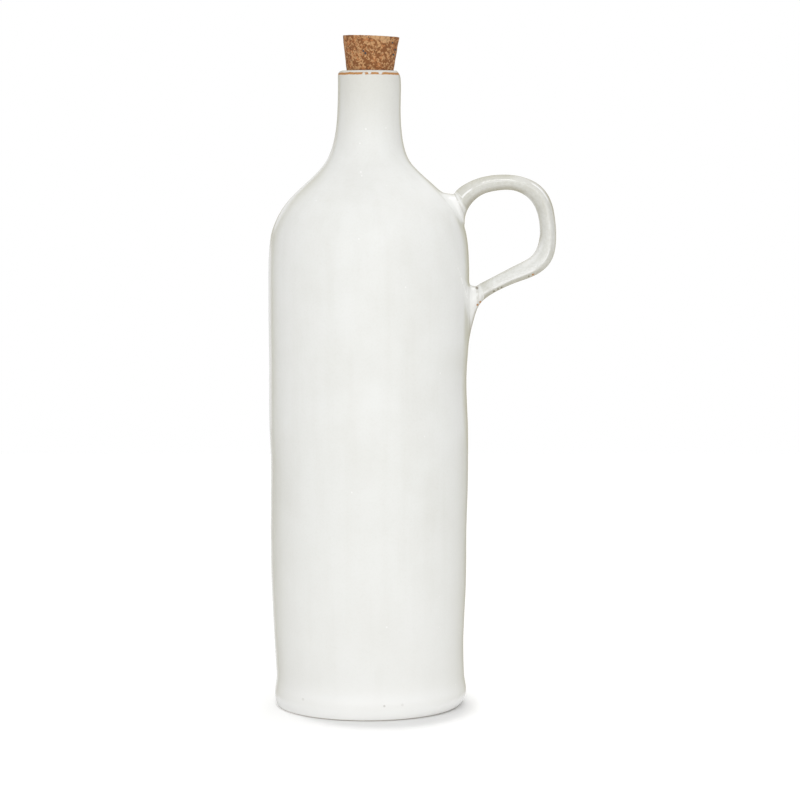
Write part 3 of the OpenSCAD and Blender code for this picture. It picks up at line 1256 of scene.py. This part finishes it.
def white_table():
    """Pale matt table. The camera sees it lifted to white, but for its shadows, and the glaze
    mirrors most of it dimmer. Round the foot a painted contact shadow deepens the lit one."""
    material, tree, shader, place, _ = start_material("white table")
    rays = tree.nodes.new("ShaderNodeLightPath")
    seen = seen_directly(rays)
    shallow = stretch(place, (1.0, SHADOW_DEPTH_SHARE, 1.0))
    # Painted contact shadow round the foot: duller white there, and the camera's lift fades out
    open_table = spread(distance(shallow, SHADOW_MIDDLE), *SHADOW_EDGE)
    colour = mix_colours(open_table, grey(SHADOW_WHITE), grey(TABLE_WHITE))
    colour = mix_colours(seen, grey(TABLE_WHITE), colour)
    mirrored = mirrored_table(place)
    colour = mix_colours(rays.outputs["Is Glossy Ray"], colour, mirrored)
    tree.links.new(colour, shader.inputs["Base Color"])
    shader.inputs["Roughness"].default_value = 0.6
    shader.inputs["Specular IOR Level"].default_value = 0.2
    lift = product(seen, open_table, TABLE_LIFT)
    tree.links.new(lift, shader.inputs["Emission Strength"])
    shader.inputs["Emission Color"].default_value = grey(1.0)
    return material


def mirrored_room(tree):
    """The room as the glaze mirrors it: a white backdrop behind the left side of the bottle, dim
    sides, a paler front, and pale again above on the right."""
    coordinates = tree.nodes.new("ShaderNodeTexCoord")
    aside, back, up = split(coordinates.outputs["Generated"])
    front = strongest(spread(back, 0.84, 0.50), spread(aside, 0.50, 0.62))
    level = between(up, (-0.015, 0.01), (0.05, 0.12))
    backdrop = product(
        between(aside, (-0.52, -0.45), (-0.06, 0.06)),
        spread(back, 0.0, 0.4),
        spread(up, 0.35, 0.20),
        rest_of(product(level, 0.7)),
    )
    above = product(spread(up, 0.18, 0.38), spread(aside, 0.04, 0.18))
    layers = ((front, grey(0.66)), (backdrop, grey(0.90)), (above, grey(0.90)))
    return cover(DIM_ROOM, layers), up


def studio_room():
    """White to the camera. It lights the bottle softly, most of all from above."""
    world = bpy.data.worlds.new("studio room")
    world.use_nodes = True
    tree = world.node_tree
    mirrored, up = mirrored_room(tree)
    rays = tree.nodes.new("ShaderNodeLightPath")
    overhead = calculate("MAXIMUM", up, 0.0)
    soft = mix_colours(overhead, (0.345, 0.34, 0.32, 1.0), grey(1.12))
    room = mix_colours(rays.outputs["Is Glossy Ray"], soft, mirrored)
    colour = mix_colours(seen_directly(rays), room, grey(1.0))
    tree.links.new(colour, tree.nodes["Background"].inputs["Color"])
    return world


def add_soft_box(name, place, size, power, mirrored):
    """Adds a soft rectangular lamp that faces the bottle, and that the glaze mirrors or not."""
    lamp = bpy.data.lights.new(name, "AREA")
    lamp.shape = "RECTANGLE"
    lamp.size, lamp.size_y = size
    lamp.energy = power
    box = bpy.data.objects.new(name, lamp)
    box.location = place
    towards = Vector((0.0, 0.0, 0.12)) - Vector(place)
    box.rotation_euler = towards.to_track_quat("-Z", "Y").to_euler()
    box.visible_glossy = mirrored
    bpy.context.scene.collection.objects.link(box)


class OILBOTTLE_OT_set_stage(bpy.types.Operator):
    """Set the pale table, the soft studio light and the camera"""

    bl_idname = "oil_bottle.set_stage"
    bl_label = "Set the Stage"

    def execute(self, context):
        bpy.ops.object.select_all(action="DESELECT")
        bpy.ops.mesh.primitive_plane_add(size=1.6, location=(0.0, 0.0, 0.0))
        table = context.active_object
        table.name = "table"
        table.data.materials.append(white_table())
        context.scene.world = studio_room()
        add_soft_box(
            "front scrim", place=(0.05, -1.90, 0.35), size=(2.0, 1.6), power=16.8, mirrored=False
        )
        add_soft_box(
            "top box", place=(0.05, 0.45, 1.10), size=(0.50, 0.18), power=1.6, mirrored=True
        )

        camera = bpy.data.cameras.new("camera")
        camera.lens = CAMERA_LENS
        camera.sensor_width = 36.0
        camera.clip_start = 0.01
        stand = bpy.data.objects.new("camera", camera)
        stand.location = CAMERA_PLACE
        stand.rotation_euler = (CAMERA_TILT, 0.0, 0.0)
        context.scene.collection.objects.link(stand)
        context.scene.camera = stand
        context.scene.view_settings.view_transform = "Standard"
        return {"FINISHED"}


class OILBOTTLE_PT_maker(bpy.types.Panel):
    """Settings and steps of the oil bottle"""

    bl_label = "Oil Bottle"
    bl_space_type = "VIEW_3D"
    bl_region_type = "UI"
    bl_category = "Oil Bottle"

    def draw(self, context):
        scene = context.scene
        for settings in (scene.oil_bottle_body, scene.oil_bottle_cork, scene.oil_bottle_colours):
            box = self.layout.box()
            for name in settings.__annotations__:
                box.prop(settings, name)
        for operator in OPERATORS:
            self.layout.operator(operator.bl_idname)


OPERATORS = (
    OILBOTTLE_OT_set_stage,
    OILBOTTLE_OT_throw_body,
    OILBOTTLE_OT_pull_handle,
    OILBOTTLE_OT_glaze_bottle,
    OILBOTTLE_OT_cut_cork,
)
CLASSES = (BodySettings, CorkSettings, ColourSettings, *OPERATORS, OILBOTTLE_PT_maker)


def register():
    for cls in CLASSES:
        bpy.utils.register_class(cls)
    bpy.types.Scene.oil_bottle_body = PointerProperty(type=BodySettings)
    bpy.types.Scene.oil_bottle_cork = PointerProperty(type=CorkSettings)
    bpy.types.Scene.oil_bottle_colours = PointerProperty(type=ColourSettings)


def unregister():
    del bpy.types.Scene.oil_bottle_colours
    del bpy.types.Scene.oil_bottle_cork
    del bpy.types.Scene.oil_bottle_body
    for cls in reversed(CLASSES):
        bpy.utils.unregister_class(cls)


def main():
    """Builds the whole scene."""
    register()
    bpy.ops.oil_bottle.set_stage()
    bpy.ops.oil_bottle.throw_body()
    bpy.ops.oil_bottle.pull_handle()
    bpy.ops.oil_bottle.glaze_bottle()
    bpy.ops.oil_bottle.cut_cork()


if __name__ == "__main__":
    main()
